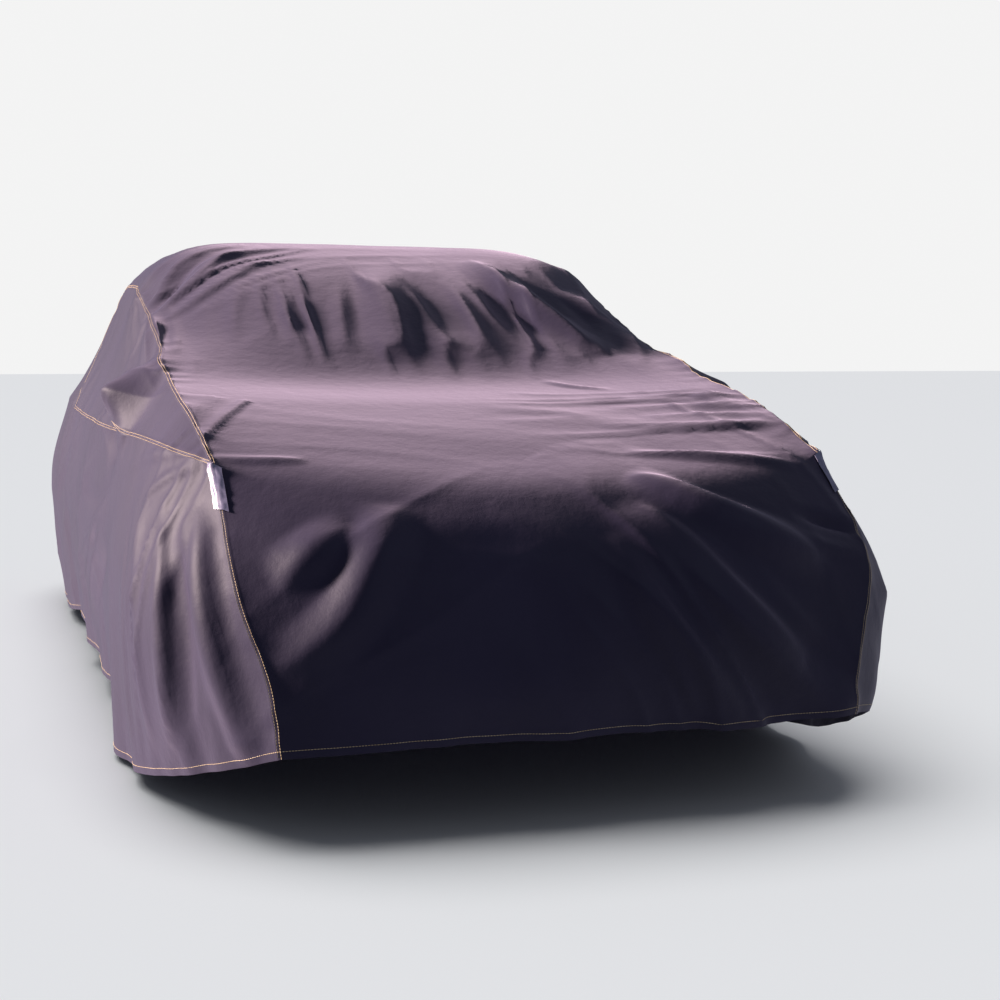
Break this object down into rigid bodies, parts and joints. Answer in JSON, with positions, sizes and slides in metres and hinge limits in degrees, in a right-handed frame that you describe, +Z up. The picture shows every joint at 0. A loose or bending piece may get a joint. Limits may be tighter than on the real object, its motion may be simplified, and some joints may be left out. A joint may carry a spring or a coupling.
{
  "type": "car cover",
  "caption": "Fitted cloth cover for a mid-size hatchback, hollow and open below, in the draped shape it takes over the car.",
  "frame": {"origin": "under the top of the roof, where the car's roof carries the cover", "axes": "+Y towards the car's rear, +Z up, +X towards the car's left side; the front faces -Y"},
  "size_m": [1.9538, 4.5718, 1.4565],
  "materials": {
    "navy_cloth": "smooth thin polyester with a soft sheen",
    "reflective_strip": "pale reflective tape",
    "gold_thread": "cream and gold top-stitching thread"
  },
  "bodies": {
    "root": {"centre_panel": "navy_cloth", "window_panel_left": "navy_cloth", "window_panel_right": "navy_cloth", "side_panel_left": "navy_cloth", "side_panel_right": "navy_cloth", "corner_patch_left": "reflective_strip", "corner_patch_right": "reflective_strip"}
  },
  "joints": []
}
